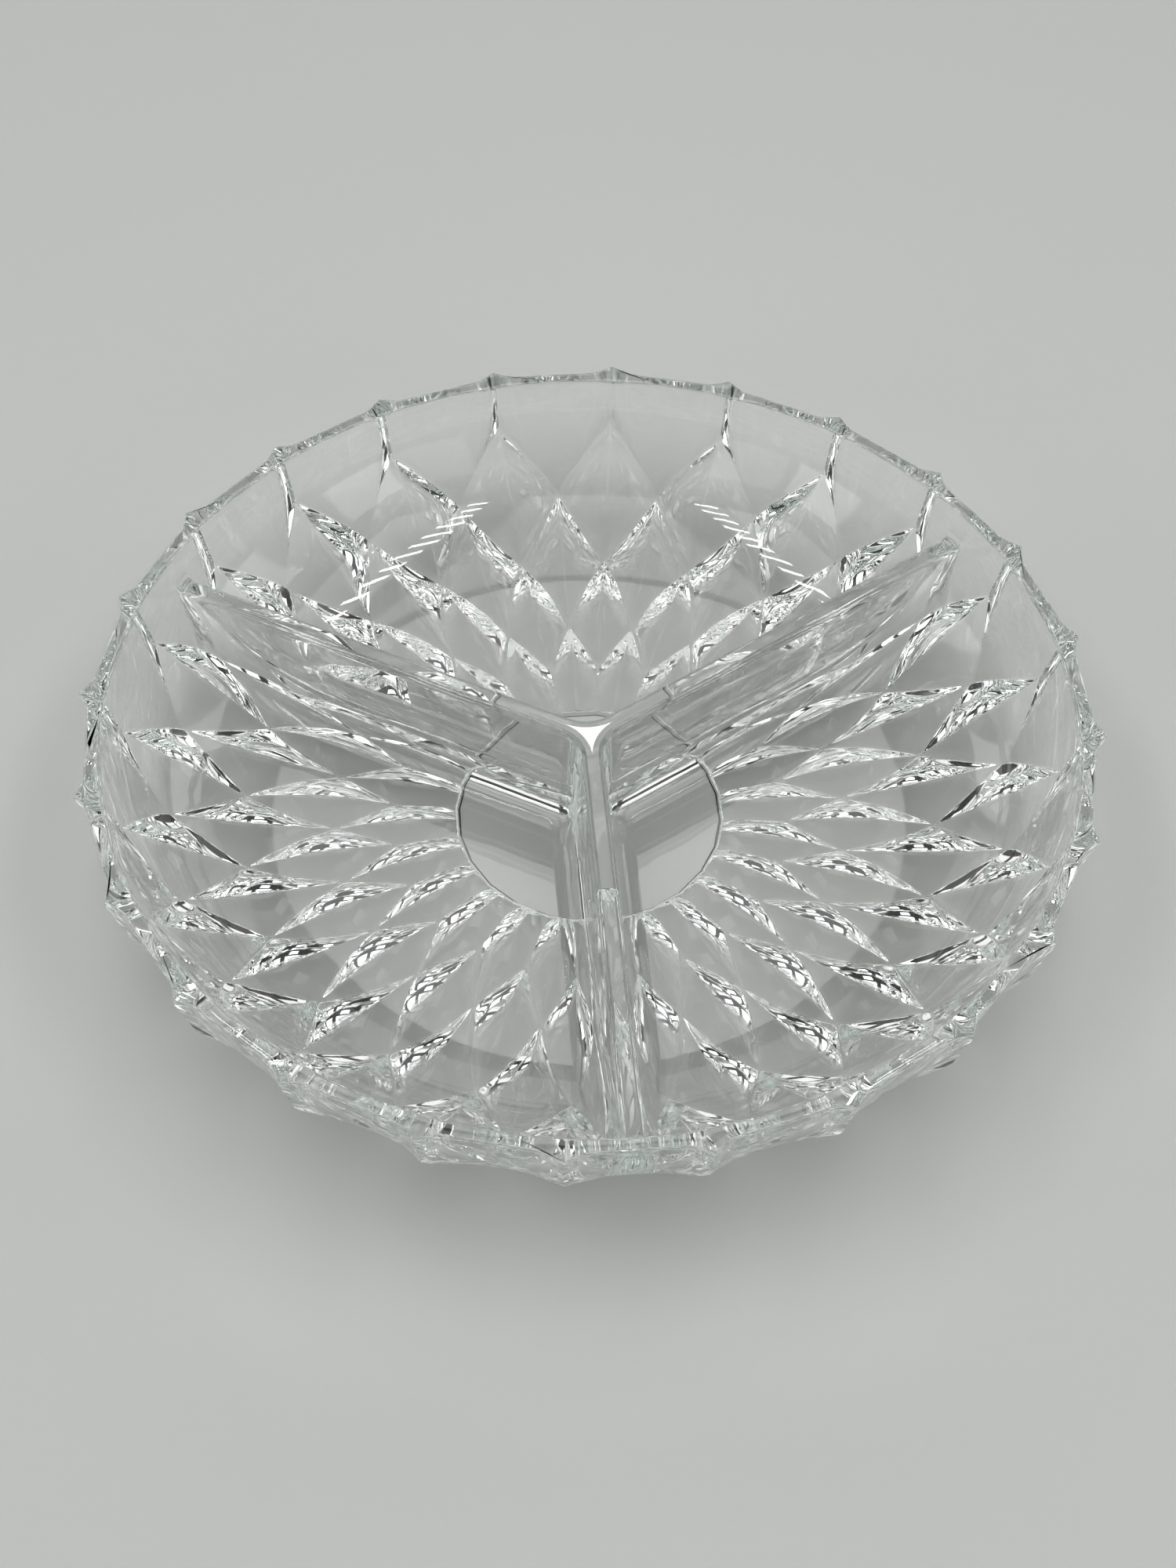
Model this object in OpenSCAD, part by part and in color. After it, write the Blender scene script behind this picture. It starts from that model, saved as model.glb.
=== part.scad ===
// Round relish tray in clear pressed glass, with three compartments and a lattice of mitre cuts underneath.
// The real tray is one pressing: each module is one named region of it, and the regions meet face to face.
// The origin is on the table under the centre, and the front divider runs along -Y.

/* [Tray] */
// Width across the rim points
tray_w = 230; // [210:1:250]
// Height of the rim above the table
tray_h = 39; // [36:0.5:42]
// Width of the flat underside, before the wall turns up
underside_w = 148; // [142:1:154]
// Width of the foot disc across its corners
foot_w = 63; // [56:1:70]
// Height of the underside above the table, where the foot disc stands proud
foot_stand = 0.4; // [0.2:0.1:1]

/* [Rim] */
// Width of the flat rim at a rim point
rim_w = 6.3; // [5.5:0.1:7.5]
// How far the rim is set in half way between two points
scallop_d = 3.2; // [2.6:0.1:3.6]
// Depth of the rim band
rim_h = 3.5; // [2.5:0.1:5]

/* [Inside] */
// Thickness of the glass over the foot
floor_t = 5; // [4.6:0.1:6.5]
// Width of the level middle of the floor
level_w = 54; // [46:1:60]
// Width at which the floor turns up into the wall
floor_turn_w = 136; // [130:1:142]
// Rise of the floor from its level middle to the turn
floor_rise = 0.5; // [0.2:0.1:1.5]

/* [Dividers] */
// Drop from the rim to the top of the dividers
divider_drop = 7; // [5:0.5:12]
// Width of a divider along its top
divider_top_w = 5; // [4:0.1:7]
// Width of a divider at the floor, without its fillets
divider_foot_w = 8; // [7.5:0.1:10]
// Radius along the top edges of a divider
divider_edge_r = 1.2; // [0.6:0.1:1.8]
// Radius of the fillet where a divider meets the floor and the wall
divider_fillet_r = 6; // [4:0.5:7]
// Radius of the hollow corners between two dividers
hub_corner_r = 9; // [9:0.5:12]
// Reach of the hub along each divider
hub_reach = 16; // [14:0.5:20]

/* [Lattice] */
// Columns of cuts in each third of the tray
columns = 8; // [7:1:9]
// Depth of the long cuts on the wall
wall_cut_d = 5.2; // [4.2:0.1:5.6]
// Drop from the rim to the upper tips of the long cuts
long_drop = 8; // [6:0.5:10]
// Depth of the cuts under the floor
floor_cut_d = 2.6; // [2:0.1:3]
// Depth of the petals round the foot
petal_cut_d = 2; // [1.6:0.1:2.4]
// Depth of the petals where they end at the foot
petal_end_d = 1.2; // [0.8:0.1:1.6]
// Flat left where the tips of cuts meet
land = 1.2; // [0.8:0.1:1.6]

/* [Hidden] */
$fn = 180;

// How far a cutting shape runs past the glass
overrun = 2;
// How far the mouth of a V cut lies from its valley
cut_reach = 2 * wall_cut_d;
// How far a straight cut runs past its tips, so that it clears the drawn-in rim at any slope of the wall
cut_past = overrun + scallop_d;
glass = [0.80, 0.86, 0.83, 0.6];
clear = [0.86, 0.90, 0.88, 0.6];

// Thirds of the tray, each from one divider to the next
third = 360 / 3;
half_third = third / 2;
right_way = 30;
left_way = right_way + third;
front_way = left_way + third;
step = third / columns;
half_step = step / 2;

tray_r = tray_w / 2;
foot_r = foot_w / 2;
// The floor starts inside the foot's corners, and the foot is cut out of it
foot_cut = 2 * foot_r * (1 - cos(half_step)) + overrun;
divider_top = tray_h - divider_drop;

// Lattice radii: the nodes where cuts meet, as shares of the tray's radius
upper_share = 0.865;
middle_share = 0.709;
lower_share = 0.514;
inner_share = 0.39;
upper_r = upper_share * tray_r;
middle_r = middle_share * tray_r;
lower_r = lower_share * tray_r;
inner_r = inner_share * tray_r;
// Floor and wall part half way between two rings of nodes
split_r = (lower_r + middle_r) / 2;
// Petals are this much wider than their column at the inner nodes, so that they meet in a crest
petal_spread_share = 1.12;
// The widest cuts open past their column by this much, and round cuts run past their tips by this much
cut_spread_share = 1.2;
wheel_over_share = 0.15;

// Outside form before it is cut: a flat underside and one arc up to just past the rim points
rim_allow = scallop_d / 5;
underside_r = underside_w / 2;
outer_rise = tray_h - foot_stand;
outer_run = tray_r + rim_allow - underside_r;
outer_arc_r = (outer_run * outer_run + outer_rise * outer_rise) / (2 * outer_rise);
outer_sweep = atan2(outer_run, outer_arc_r - outer_rise);

// Inside form: a level middle, a gentle slope and one arc up to the rim
level_r = level_w / 2;
floor_turn_r = floor_turn_w / 2;
rim_in_r = tray_r - rim_w;
floor_turn_z = floor_t + floor_rise;
floor_slope = atan2(floor_rise, floor_turn_r - level_r);
slope_length = norm([floor_turn_r - level_r, floor_rise]);
inner_run = [rim_in_r - floor_turn_r, tray_h - floor_turn_z];
inner_lift = inner_run.y * cos(floor_slope) - inner_run.x * sin(floor_slope);
inner_arc_r = (inner_run * inner_run) / (2 * inner_lift);
inner_arc_at = [floor_turn_r - inner_arc_r * sin(floor_slope), floor_turn_z + inner_arc_r * cos(floor_slope)];

// Points of the outside form, in a plane through the axis, as [radius, height]
function outside_z(r) = r <= underside_r
  ? foot_stand
  : foot_stand + outer_arc_r - sqrt(outer_arc_r * outer_arc_r - (r - underside_r) * (r - underside_r));
function outside(r) = [r, outside_z(r)];
// A point under the turn of the outside, at an angle round its arc and a depth below it
function under_turn(turn, depth) = [
  underside_r + (outer_arc_r - depth) * sin(turn),
  foot_stand + outer_arc_r - (outer_arc_r - depth) * cos(turn)
];
// A node half a step away from a cut, seen in the plane of the cut
function beside(r) = [r * cos(half_step), outside_z(r)];
function half_column(r) = r * sin(half_step);

// Distance from a point to the line through a and b
function line_gap(a, b, p) = abs(cross(b - a, p - a)) / norm(b - a);
// Centre of the circle through three points
function circle_at(a, b, c) =
  let (d = 2 * (a.x * (b.y - c.y) + b.x * (c.y - a.y) + c.x * (a.y - b.y)))
  [
    ((a * a) * (b.y - c.y) + (b * b) * (c.y - a.y) + (c * c) * (a.y - b.y)) / d,
    ((a * a) * (c.x - b.x) + (b * b) * (a.x - c.x) + (c * c) * (b.x - a.x)) / d
  ];

// Hollows of the scallops, which run straight up the wall and meet at the rim points
scallop_low = outside(upper_r + land);
scallop_high = [tray_r - scallop_d, tray_h];
scallop_half_w = half_column(tray_r);
scallop_hollow = line_gap(scallop_low, scallop_high, [tray_r * cos(half_step), tray_h]);
scallop_r = (scallop_half_w * scallop_half_w + scallop_hollow * scallop_hollow) / (2 * scallop_hollow);

// Valleys of the straight cuts where the wall turns up

turn_low = outside(lower_r + land);
turn_high = outside(upper_r - land);
turn_pitch = line_gap(turn_low, turn_high, beside(middle_r)) / (half_column(middle_r) - land);

// Valleys of the long cuts, bowed with the wall from the middle nodes up to their own tips
long_from = asin((middle_r + land - underside_r) / outer_arc_r);
long_to = acos(1 - (outer_rise - long_drop) / outer_arc_r);
long_low = under_turn(long_from, 0);
long_deep = under_turn((long_from + long_to) / 2, wall_cut_d);
long_high = under_turn(long_to, 0);
long_cut_at = circle_at(long_low, long_deep, long_high);
long_cut_r = norm(long_deep - long_cut_at);
long_open = abs(norm(beside(upper_r) - long_cut_at) - long_cut_r);
long_pitch = long_open / (half_column(upper_r) - land);

// Valleys of the round cuts under the floor
floor_tip_in = outside(inner_r + land);
floor_tip_out = outside(middle_r - land);
floor_deep = [lower_r, foot_stand + floor_cut_d];
floor_cut_at = circle_at(floor_tip_in, floor_deep, floor_tip_out);
floor_cut_r = norm(floor_deep - floor_cut_at);
floor_pitch = (floor_cut_r - norm(beside(lower_r) - floor_cut_at)) / (half_column(lower_r) - land);

petal_tip_in = [foot_r, foot_stand + petal_end_d];
petal_tip_out = outside(lower_r - land);
petal_deep = [inner_r, foot_stand + petal_cut_d];
petal_cut_at = circle_at(petal_tip_in, petal_deep, petal_tip_out);
petal_cut_r = norm(petal_deep - petal_cut_at);
// Petals meet in a crest at the inner nodes, and leave a narrow flat at the corners of the foot
petal_drop = petal_cut_r - norm(beside(inner_r) - petal_cut_at);
petal_pitch = max(
  petal_drop / (half_column(inner_r) * petal_spread_share),
  petal_end_d / (half_column(foot_r) - land / 4)
);
petal_half_w = half_column(inner_r) * cut_spread_share;

// Half section of the glass before it is cut
module outside_section() {
  difference() {
    translate([0, foot_stand])
      square([underside_r + outer_run, outer_rise]);
    difference() {
      translate([underside_r, 0])
        square([outer_run + overrun, tray_h]);
      translate([underside_r, foot_stand + outer_arc_r])
        circle(r = outer_arc_r);
    }
  }
}

// Half section of the room inside, run out past the rim
module inside_section() {
  polygon([
    [0, floor_t],
    [level_r, floor_t],
    [floor_turn_r, floor_turn_z],
    [rim_in_r, tray_h],
    [rim_in_r, tray_h + overrun],
    [0, tray_h + overrun]
  ]);
  intersection() {
    translate(inner_arc_at)
      circle(r = inner_arc_r);
    translate([floor_turn_r, floor_turn_z])
      square(inner_run);
  }
}

// Room inside the tray, which the foot is cut to and the dividers fill
module inside_form() {
  rotate_extrude()
    inside_section();
}

// One third of the turned glass from +X round, between two radii and two heights
module turned_third(r_in, r_out, z_low, z_high) {
  rotate_extrude(angle = third)
    intersection() {
      difference() {
        outside_section();
        inside_section();
      }
      translate([r_in, z_low])
        square([r_out - r_in, z_high - z_low]);
    }
}

// Section of a V cut: its valley is at the origin, and its flanks open to a half width, then run out square
module cut_section(pitch, half_w) {
  polygon([
    [0, 0],
    [half_w, -half_w * pitch],
    [half_w, -cut_reach],
    [-half_w, -cut_reach],
    [-half_w, -half_w * pitch]
  ]);
}

// Section of a hollow cut: its deepest line is at the origin, and it is as wide as its round allows
module hollow_section(r, half_w) {
  intersection() {
    translate([0, -r])
      circle(r = r);
    translate([-half_w, -cut_reach])
      square([2 * half_w, cut_reach]);
  }
}

// Straight cut whose deepest line runs from a to b in the plane of +X, with its section given
module straight_cut(a, b) {
  slope = atan2(b.y - a.y, b.x - a.x);
  translate([a.x, 0, a.y])
    rotate([0, -slope, 0])
      translate([-cut_past, 0, 0])
        rotate([90, 0, 90])
          linear_extrude(height = norm(b - a) + 2 * cut_past)
            children();
}

// Round cut whose valley is an arc from a outwards to b in the plane of +X. It opens under the glass: away from
// the arc's centre where the valley bows with the wall, and towards it where a mitre wheel leaves a hollow
module round_cut(at, a, b, pitch, half_w) {
  bowed = cross(b - a, at - a) > 0;
  first = bowed ? a : b;
  last = bowed ? b : a;
  from = atan2(first.y - at.y, first.x - at.x);
  sweep = atan2(last.y - at.y, last.x - at.x) - from;
  translate([at.x, 0, at.y])
    rotate([90, 0, 0])
      rotate(from - sweep * wheel_over_share)
        rotate_extrude(angle = sweep + 2 * sweep * wheel_over_share)
          translate([norm(a - at), 0])
            rotate(bowed ? 90 : -90)
              cut_section(pitch, half_w);
}

// Rows of cuts across one third: a row in line with the dividers has a cut at both ends, shared with the next
module scallop_row() {
  for (i = [0 : columns])
    rotate(i * step)
      straight_cut(scallop_low, scallop_high)
        hollow_section(scallop_r, scallop_half_w * cut_spread_share);
}

module long_row() {
  for (i = [1 : columns])
    rotate(i * step - half_step)
      round_cut(long_cut_at, long_low, long_high, long_pitch, half_column(upper_r));
}

module turn_row() {
  for (i = [0 : columns])
    rotate(i * step)
      straight_cut(turn_low, turn_high)
        cut_section(turn_pitch, half_column(middle_r));
}

module floor_row() {
  for (i = [1 : columns])
    rotate(i * step - half_step)
      round_cut(floor_cut_at, floor_tip_in, floor_tip_out, floor_pitch, half_column(lower_r));
}

module petal_row() {
  for (i = [0 : columns])
    rotate(i * step)
      round_cut(petal_cut_at, petal_tip_in, petal_tip_out, petal_pitch, petal_half_w);
}

// Foot: a disc with one corner at the end of each crest between two petals
module foot_outline() {
  sides = 3 * columns;
  polygon([for (i = [1 : sides]) foot_r * [cos(i * step - half_step), sin(i * step - half_step)]]);
}

module foot_disc() {
  color(clear)
    difference() {
      rotate(right_way)
        linear_extrude(height = floor_turn_z)
          foot_outline();
      inside_form();
    }
}

// Floor of one compartment: petals and floor cuts underneath, smooth on top
module floor_third() {
  difference() {
    turned_third(foot_r - foot_cut, split_r, 0, tray_h);
    linear_extrude(height = tray_h)
      foot_outline();
    turn_row();
    floor_row();
    petal_row();
  }
}

// Wall of one compartment, from the floor up to the rim band
module wall_third() {
  difference() {
    turned_third(split_r, tray_r + overrun, 0, tray_h - rim_h);
    scallop_row();
    long_row();
    turn_row();
    floor_row();
  }
}

// Rim band of one compartment: flat on top, drawn in between its points
module rim_third() {
  difference() {
    turned_third(split_r, tray_r + overrun, tray_h - rim_h, tray_h);
    scallop_row();
  }
}

module floor_back() {
  color(glass) rotate(right_way) floor_third();
}

module floor_left() {
  color(glass) rotate(left_way) floor_third();
}

module floor_right() {
  color(glass) rotate(front_way) floor_third();
}

module wall_back() {
  color(clear) rotate(right_way) wall_third();
}

module wall_left() {
  color(clear) rotate(left_way) wall_third();
}

module wall_right() {
  color(clear) rotate(front_way) wall_third();
}

module rim_back() {
  color(glass) rotate(right_way) rim_third();
}

module rim_left() {
  color(glass) rotate(left_way) rim_third();
}

module rim_right() {
  color(glass) rotate(front_way) rim_third();
}

// Cross-section of a divider: drafted sides and a flat top with rounded edges
divider_half_top = divider_top_w / 2;
divider_half_foot = divider_foot_w / 2;
edge_at = [divider_half_top - divider_edge_r, divider_top - divider_edge_r];
draft = (divider_half_foot - divider_half_top) / (edge_at.y - floor_t);
// Fillets and hollow corners die into the sides of the dividers by this much
fillet_sink = divider_fillet_r / 15;
// How far a fillet reaches out from the foot of a drafted side
fillet_out = divider_fillet_r * tan(45 - atan(draft) / 2) - fillet_sink;

module divider_section() {
  polygon([
    [-divider_half_foot - draft * floor_t, 0],
    [divider_half_foot + draft * floor_t, 0],
    [divider_half_top, edge_at.y],
    [edge_at.x, divider_top],
    [-edge_at.x, divider_top],
    [-divider_half_top, edge_at.y]
  ]);
  for (side = [-1, 1])
    translate([side * edge_at.x, edge_at.y])
      circle(r = divider_edge_r);
}

// Cross-section of the two fillets along the foot of a divider, with the glass surface at height 0
module fillet_section() {
  difference() {
    translate([-divider_half_foot - fillet_out, -overrun])
      square([divider_foot_w + 2 * fillet_out, divider_fillet_r + overrun]);
    for (side = [-1, 1])
      translate([side * (divider_half_foot + fillet_out), divider_fillet_r])
        circle(r = divider_fillet_r);
  }
}

// A section carried straight out along +X from a point, rising by an angle
module carried(at, rise, length) {
  translate([at.x, 0, at.y])
    rotate([0, -rise, 0])
      rotate([90, 0, 90])
        linear_extrude(height = length)
          children();
}

// Fillets up the wall: the section carried round the arc of the inside
module wall_fillets() {
  intersection() {
    translate([inner_arc_at.x, 0, inner_arc_at.y])
      rotate([90, 0, 0])
        rotate_extrude()
          translate([inner_arc_r, 0])
            rotate(90)
              fillet_section();
    translate([floor_turn_r, -tray_r, 0])
      cube([tray_r, tray_w, divider_top]);
  }
}

// One divider from the hub to the wall, along +X
module divider() {
  intersection() {
    union() {
      carried([0, 0], 0, tray_r)
        divider_section();
      carried([0, floor_t], 0, level_r)
        fillet_section();
      carried([level_r, floor_t], floor_slope, slope_length)
        fillet_section();
      wall_fillets();
    }
    inside_form();
    translate([hub_reach, -tray_r, 0])
      cube([tray_w, tray_w, tray_h]);
  }
}

module divider_front() {
  color(clear) rotate(front_way) divider();
}

module divider_right() {
  color(clear) rotate(right_way) divider();
}

module divider_left() {
  color(clear) rotate(left_way) divider();
}

// Hollow corner between two dividers, opening along +X: a drafted round that dies into both sides
corner_gap = divider_half_top - fillet_sink + hub_corner_r;
corner_out = corner_gap / sin(half_third);
corner_foot_r = hub_corner_r - draft * (edge_at.y - floor_t);
corner_fillet_r = min(divider_fillet_r, corner_foot_r);
corner_fillet_in = corner_fillet_r * tan(45 - atan(draft) / 2) - fillet_sink;
corner_h = divider_top + overrun - floor_t;
corner_top_r = corner_foot_r + draft * corner_h;

module hub_corner() {
  // Points half way into each divider, square to the middle of the round
  into = corner_gap - divider_half_top / 2;
  difference() {
    linear_extrude(height = divider_top)
      polygon([
        [divider_half_top / 2, 0],
        [corner_out - into * sin(half_third), -into * cos(half_third)],
        [corner_out, 0],
        [corner_out - into * sin(half_third), into * cos(half_third)]
      ]);
    translate([corner_out, 0, floor_t])
      difference() {
        cylinder(r1 = corner_foot_r, r2 = corner_top_r, h = corner_h);
        rotate_extrude()
          difference() {
            translate([corner_foot_r - corner_fillet_in, -overrun])
              square([corner_fillet_in + overrun, corner_fillet_r + overrun]);
            translate([corner_foot_r - corner_fillet_in, corner_fillet_r])
              circle(r = corner_fillet_r);
          }
      }
  }
}

// Hub: the three dividers run together, with hollow corners between them
module divider_hub() {
  color(glass)
    intersection() {
      union()
        for (way = [right_way, left_way, front_way])
          rotate(way) {
            carried([0, 0], 0, hub_reach)
              divider_section();
            carried([0, floor_t], 0, hub_reach)
              fillet_section();
            rotate(half_third)
              hub_corner();
          }
      inside_form();
    }
}

foot_disc();
floor_back();
floor_left();
floor_right();
wall_back();
wall_left();
wall_right();
rim_back();
rim_left();
rim_right();
divider_front();
divider_right();
divider_left();
divider_hub();
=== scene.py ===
import math

import bpy
import numpy as np
from mathutils import Matrix


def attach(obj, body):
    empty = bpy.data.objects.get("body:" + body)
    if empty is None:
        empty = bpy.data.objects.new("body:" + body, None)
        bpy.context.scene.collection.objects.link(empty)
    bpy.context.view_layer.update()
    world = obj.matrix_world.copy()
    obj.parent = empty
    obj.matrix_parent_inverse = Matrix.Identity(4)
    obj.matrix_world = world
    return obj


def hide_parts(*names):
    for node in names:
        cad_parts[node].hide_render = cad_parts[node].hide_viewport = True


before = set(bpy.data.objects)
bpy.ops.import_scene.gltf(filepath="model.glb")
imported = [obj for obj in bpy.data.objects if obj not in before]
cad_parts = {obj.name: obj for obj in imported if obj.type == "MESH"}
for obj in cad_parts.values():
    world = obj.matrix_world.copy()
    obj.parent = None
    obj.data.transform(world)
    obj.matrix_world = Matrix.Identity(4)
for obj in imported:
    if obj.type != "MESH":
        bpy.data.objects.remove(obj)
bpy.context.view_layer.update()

# A round relish tray of clear pressed glass. The real tray is one pressing, so its glass is one closed skin here:
# the cut outside, the smooth inside with its three dividers, the rim and the foot. Sizes are in millimetres, as
# in the solids, and become metres when the mesh is made. The origin is on the table under the centre.

MM = 0.001

# Tray, rim and foot
TRAY_R, TRAY_H = 115.0, 39.0
UNDERSIDE_R, FOOT_STAND, FOOT_R = 74.0, 0.4, 31.5
RIM_W, SCALLOP_D, RIM_ALLOW = 6.3, 3.0, 0.64
RIM_OUT_EDGE, RIM_IN_EDGE, FOOT_EDGE = 0.6, 0.8, 1.1
# Inside and dividers
FLOOR_T, LEVEL_R, FLOOR_TURN_R, FLOOR_RISE = 5.0, 27.0, 68.0, 0.5
DIVIDER_TOP, DIVIDER_HALF, DIVIDER_HALF_FOOT = 32.0, 2.5, 4.0
DIVIDER_EDGE, DIVIDER_FILLET, CORNER_R, END_SWEEP = 1.2, 6.0, 9.0, 4.0
DIVIDER_TURNS, SIXTH = np.radians([30.0, 150.0, 270.0]), math.radians(60)
# Most of a divider's height that its edge and its fillet take where it runs out into the wall
EDGE_SHARE, FILLET_SHARE = 0.25, 0.75
# Lattice of mitre cuts: its columns, the turn of the first rim point, and the radii of the nodes where cuts meet
COLUMNS, FIRST_POINT = 24, math.radians(37.5)
HALF_STEP = math.pi / COLUMNS
UPPER_R, MIDDLE_R, LOWER_R, INNER_R = 0.865 * TRAY_R, 0.709 * TRAY_R, 0.514 * TRAY_R, 0.39 * TRAY_R
WALL_CUT_D, LONG_DROP, TURN_CUT_D, FLOOR_CUT_D = 7.1, 15.5, 5.5, 3.9
PETAL_CUT_D, PETAL_END_D, PETAL_SPREAD, LAND = 3.1, 1.6, 1.12, 0.3
# Share of a cut's rise that is straight, where the rest is hollow, and the least opening that counts as a cut
VALLEY_SHARE, LEAST_OPEN = 0.8, 0.05
# The scallops' own flanks: their slope, their valley at the rim, and how far the flat between them bows out
SCALLOP_FLANK, SCALLOP_VALLEY_R, SCALLOP_BOW = 0.46, 106.9, 2.0
# Softness of a crest and of a valley, as the fire leaves them
CREST_SOFT, VALLEY_SOFT = 0.3, 0.2
# Depth below the rim where the way into the outside starts to turn level, and the width over which the lattice's edge
# fades from the foot's straight sides to a circle
LEVEL_DROP, FOOT_FADE = 14.0, 6.0
# Stations of the skin: out from the foot, across the flat, up the outside's arc, up the inside's arc, and round a
# hollow corner of the hub
FOOT_STEPS = np.array([0.0, 0.2, 0.6, 1.3, 2.2])
FLAT_ROWS, OUTER_ROWS, INNER_ROWS, CORNER_ROWS = 30, 66, 60, 7
# Places of the skin's columns: across a cut as shares of its half width, and across a scallop as shares of the half
# width of its flat and then of its flank. Then the least column as a share of half a column of the lattice, and the
# least and most that a flat takes of its cut
CUT_SHARES = np.array([0.0, 0.04, 0.18, 0.4, 0.65, 0.86, 0.96])
FLAT_SHARES = np.array([0.0, 0.5, 0.94, 1.0, 1.0, 1.0, 1.0])
FLANK_SHARES = np.array([0.0, 0.0, 0.0, 0.06, 0.5, 0.9, 0.97])
LEAST_COLUMN, LEAST_FLAT, MOST_FLAT = 0.006, 0.05, 0.9
# Steps in to the bottom of a cut, turns tried to find a crest, and the depth that counts as none
STEPS_IN, CREST_TRIES, NO_DEPTH = 12, 241, 1e-6
# Parts of a millimetre that points are welded to, the shift that keeps whole sizes off a border between them, and how
# far outside the rim's inner edge its two rings are told apart
WELD_PARTS, WELD_SHIFT, RING_SPLIT = 3137.1, 0.31, 1.6

OUTER_RISE = TRAY_H - FOOT_STAND
OUTER_RUN = TRAY_R + RIM_ALLOW - UNDERSIDE_R
OUTER_ARC = (OUTER_RUN ** 2 + OUTER_RISE ** 2) / (2 * OUTER_RISE)
OUTER_SWEEP = math.atan2(OUTER_RUN, OUTER_ARC - OUTER_RISE)

FLOOR_SLOPE = math.atan2(FLOOR_RISE, FLOOR_TURN_R - LEVEL_R)
RUN_IN = np.array([TRAY_R - RIM_W - FLOOR_TURN_R, TRAY_H - FLOOR_T - FLOOR_RISE])
INNER_ARC = (RUN_IN @ RUN_IN) / (2 * (RUN_IN[1] * math.cos(FLOOR_SLOPE) - RUN_IN[0] * math.sin(FLOOR_SLOPE)))
INNER_AT = np.array([
    FLOOR_TURN_R - INNER_ARC * math.sin(FLOOR_SLOPE),
    FLOOR_T + FLOOR_RISE + INNER_ARC * math.cos(FLOOR_SLOPE),
])


def outside_point(r):
    """Point [radius, height] of the uncut outside: level to the underside's edge, then one arc up to the rim."""
    past = max(r - UNDERSIDE_R, 0.0)
    return np.array([r, FOOT_STAND + OUTER_ARC - math.sqrt(OUTER_ARC ** 2 - past ** 2)])


def under_turn(turn, depth):
    """Point [radius, height] at an angle round the outside's arc and a depth below it."""
    reach = OUTER_ARC - depth
    return np.array([UNDERSIDE_R + reach * math.sin(turn), FOOT_STAND + OUTER_ARC - reach * math.cos(turn)])


def beside(r):
    """A node half a step away from a cut, seen in the plane of the cut."""
    x, z = outside_point(r)
    return np.array([x * math.cos(HALF_STEP), z])


def half_column(r):
    """Half the width of a column of cuts at a radius."""
    return r * math.sin(HALF_STEP)


def straight_valley(low, high):
    """A straight valley in a plane through the axis: a point on it and the unit normal out of the glass."""
    run = (high - low) / np.linalg.norm(high - low)
    return {"at": low, "out": np.array([run[1], -run[0]]), "wheel": 0.0}


def round_valley(a, b, c):
    """A round valley: the circle through three points, which the cut opens out of (side 1) or into (side -1)."""
    d = 2 * (a[0] * (b[1] - c[1]) + b[0] * (c[1] - a[1]) + c[0] * (a[1] - b[1]))
    x = ((a @ a) * (b[1] - c[1]) + (b @ b) * (c[1] - a[1]) + (c @ c) * (a[1] - b[1])) / d
    z = ((a @ a) * (c[0] - b[0]) + (b @ b) * (a[0] - c[0]) + (c @ c) * (b[0] - a[0])) / d
    bowed = (c[0] - a[0]) * (z - a[1]) - (c[1] - a[1]) * (x - a[0]) > 0
    return {"at": np.array([x, z]), "wheel": math.hypot(a[0] - x, a[1] - z), "side": 1 if bowed else -1}


def open_depth(valley, x, z):
    """How far a point in the plane of a cut lies outside its valley: along its normal, or from its circle."""
    if valley["wheel"]:
        return valley["side"] * (np.hypot(x - valley["at"][0], z - valley["at"][1]) - valley["wheel"])
    return (x - valley["at"][0]) * valley["out"][0] + (z - valley["at"][1]) * valley["out"][1]


def with_flanks(valley, node, half_w):
    """Sets a cut's hollow flanks so that they reach the surface at a node, a half width away.

    Across the cut the glass rises from the valley by the pitch, partly straight and partly hollow, so the flanks are
    steepest along the crests, by the same slope over the whole length of the cut.
    """
    valley["pitch"] = open_depth(valley, node[0], node[1]) / half_w
    return valley


def flat_half(cut, r, z):
    """Half width of the flat of a cut under a point of the uncut outside: only scallops have one."""
    if "flat" in cut:
        return np.maximum(open_depth(cut, r, z) - open_depth(cut["flat"], r, z), 0.0) / cut["pitch"]
    return 0.0 * r


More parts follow.
